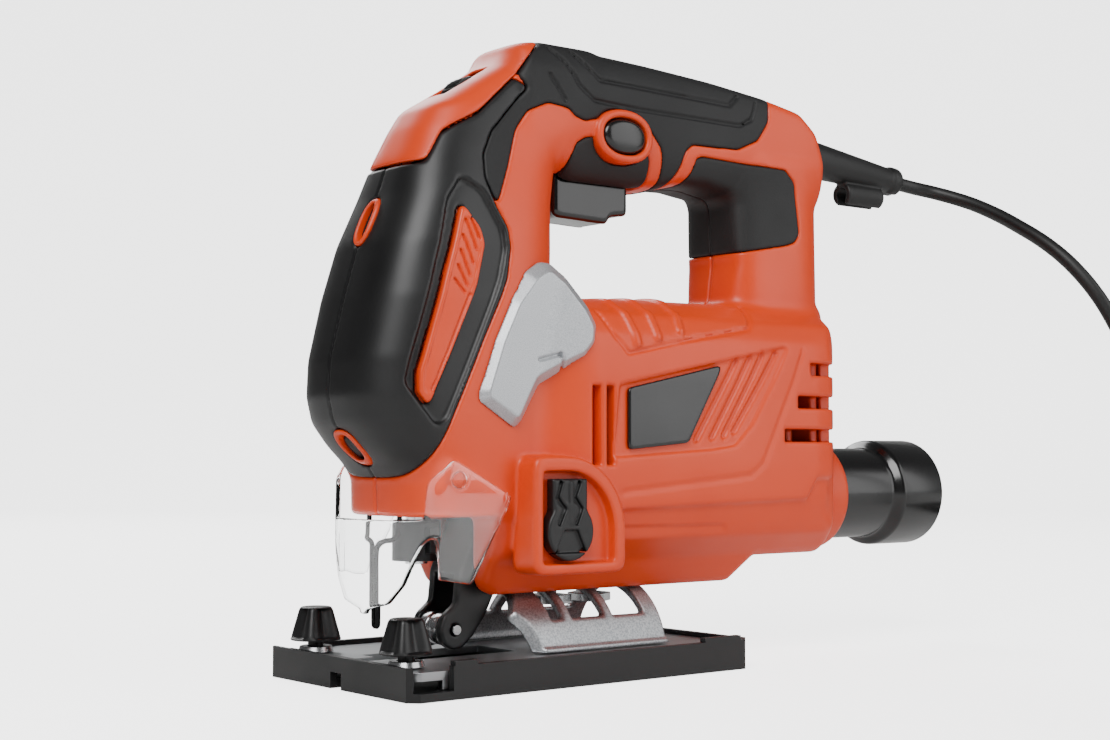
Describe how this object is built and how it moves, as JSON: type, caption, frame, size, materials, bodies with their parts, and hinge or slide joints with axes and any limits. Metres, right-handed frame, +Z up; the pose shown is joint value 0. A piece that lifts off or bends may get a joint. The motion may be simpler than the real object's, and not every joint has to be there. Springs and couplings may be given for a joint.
{
  "type": "jigsaw",
  "caption": "Corded D-handle jigsaw with a tilting sole, pendulum lever, clear dust shield, roller guide, fence clamps, a dust adapter and a coiled mains lead.",
  "frame": {"origin": "centre of the sole, on the plane that the sole rests on", "axes": "+Z up from the sole; +X towards the rear of the tool, away from the blade; -Y is the tool's left side"},
  "size_m": [0.468, 0.1539, 0.2052],
  "materials": {
    "orange_abs": "moulded orange ABS with a fine texture",
    "black_overmould": "soft matt black overmould",
    "silver_paint": "satin silver paint on plastic",
    "gloss_black": "moulded black nylon",
    "black_plastic": "matt black plastic",
    "die_cast": "speckled die casting",
    "bright_steel": "bright plated steel",
    "blackened_steel": "blackened steel",
    "copper": "copper winding",
    "clear_polycarbonate": "clear moulded polycarbonate",
    "black_rubber": "black cable rubber"
  },
  "bodies": {
    "housing": {"housing_left": "orange_abs", "housing_right": "orange_abs", "top_cap": "orange_abs", "head_vent_left": "orange_abs", "head_vent_right": "orange_abs", "front_light_ring": "orange_abs", "nose_vent": "orange_abs", "handle_grip_left": "black_overmould", "handle_grip_right": "black_overmould", "rear_grip_left": "black_overmould", "rear_grip_right": "black_overmould", "head_cover": "black_overmould", "silver_cover_left": "silver_paint", "silver_cover_right": "silver_paint", "badge_left": "gloss_black", "badge_right": "gloss_black", "switch_module": "black_plastic", "gearbox_plate": "die_cast", "gear_axle": "bright_steel", "bracket_bolt_1": "bright_steel", "bracket_bolt_2": "bright_steel", "housing_screw_1": "bright_steel", "housing_screw_2": "bright_steel", "housing_screw_3": "bright_steel", "housing_screw_4": "bright_steel", "front_bearing": "bright_steel", "rear_bearing": "bright_steel", "lower_bush": "bright_steel", "upper_bush": "bright_steel", "motor_stator": "bright_steel", "guard_wire": "blackened_steel", "brush_left": "blackened_steel", "brush_right": "blackened_steel", "strain_relief": "black_rubber", "cord": "black_rubber", "cord_coil": "black_rubber", "plug": "black_rubber"},
    "armature": {"armature_shaft": "bright_steel", "armature_core": "copper", "commutator": "copper", "cooling_fan": "black_plastic"},
    "gear": {"drive_gear": "bright_steel"},
    "plunger": {"plunger": "bright_steel"},
    "clamp": {"blade_clamp": "blackened_steel"},
    "trigger": {"trigger": "gloss_black"},
    "lock": {"lock_button": "gloss_black"},
    "dial": {"speed_dial": "gloss_black"},
    "lever": {"pendulum_lever": "gloss_black"},
    "fork": {"roller_fork": "gloss_black", "roller_pin": "bright_steel"},
    "roller": {"guide_roller": "bright_steel"},
    "shoe": {"shoe_plate": "bright_steel", "shoe_cover": "black_plastic", "bevel_bracket": "die_cast", "fence_washer_left": "bright_steel", "fence_washer_right": "bright_steel"},
    "knob_left": {"fence_knob_left": "gloss_black"},
    "knob_right": {"fence_knob_right": "gloss_black"},
    "shield": {"dust_shield": "clear_polycarbonate"},
    "adapter": {"vacuum_adapter": "gloss_black"}
  },
  "joints": [
    {"name": "armature_spin", "type": "hinge", "parent": "housing", "child": "armature", "pos_m": [0.05, 0, 0.074], "axis": [1, 0, 0], "continuous": true},
    {"name": "gear_spin", "type": "hinge", "parent": "housing", "child": "gear", "pos_m": [-0.013, 0, 0.0985], "axis": [1, 0, 0], "continuous": true},
    {"name": "plunger_stroke", "type": "slide", "parent": "housing", "child": "plunger", "axis": [0, 0, 1], "range_m": [-0.009, 0.009]},
    {"name": "blade_clamp_turn", "type": "hinge", "parent": "plunger", "child": "clamp", "pos_m": [-0.039, 0, 0.044], "axis": [0, 0, 1], "range_deg": [0, 60], "stiffness_Nm_per_rad": 0.02, "springref_deg": -17.19},
    {"name": "trigger_press", "type": "slide", "parent": "housing", "child": "trigger", "axis": [0, 0, 1], "range_m": [0, 0.006], "stiffness_N_per_m": 900, "springref_m": -0.003},
    {"name": "lock_button_press", "type": "slide", "parent": "housing", "child": "lock", "axis": [0, 1, 0], "range_m": [0, 0.0035], "stiffness_N_per_m": 600, "springref_m": -0.002},
    {"name": "speed_dial_turn", "type": "hinge", "parent": "housing", "child": "dial", "pos_m": [-0.0189, 0, 0.1816], "axis": [0, 1, 0], "range_deg": [-150, 150]},
    {"name": "pendulum_lever_turn", "type": "hinge", "parent": "housing", "child": "lever", "pos_m": [-0.007, -0.035, 0.0467], "axis": [0, 1, 0], "range_deg": [0, 90]},
    {"name": "roller_fork_swing", "type": "hinge", "parent": "housing", "child": "fork", "pos_m": [-0.014, 0, 0.046], "axis": [0, 1, 0], "range_deg": [0, 4], "stiffness_Nm_per_rad": 0.5, "springref_deg": -2.86},
    {"name": "guide_roller_spin", "type": "hinge", "parent": "fork", "child": "roller", "pos_m": [-0.03, 0, 0.016], "axis": [0, 1, 0], "continuous": true},
    {"name": "bevel_tilt", "type": "hinge", "parent": "housing", "child": "shoe", "pos_m": [0.01, 0, 0.005], "axis": [1, 0, 0], "range_deg": [-15, 15]},
    {"name": "fence_knob_left_turn", "type": "hinge", "parent": "shoe", "child": "knob_left", "pos_m": [-0.0597, -0.0255, 0.015], "axis": [0, 0, 1], "range_deg": [-90, 90]},
    {"name": "fence_knob_right_turn", "type": "hinge", "parent": "shoe", "child": "knob_right", "pos_m": [-0.0597, 0.0255, 0.015], "axis": [0, 0, 1], "range_deg": [-90, 90]},
    {"name": "dust_shield_lift", "type": "hinge", "parent": "housing", "child": "shield", "pos_m": [-0.043, 0, 0.0627], "axis": [0, 1, 0], "range_deg": [0, 35]},
    {"name": "adapter_pull", "type": "slide", "parent": "housing", "child": "adapter", "axis": [1, 0, 0], "range_m": [0, 0.03]}
  ],
  "couplings": [
    {"joint": "gear_spin", "follows": "armature_spin", "ratio": -0.16667}
  ]
}
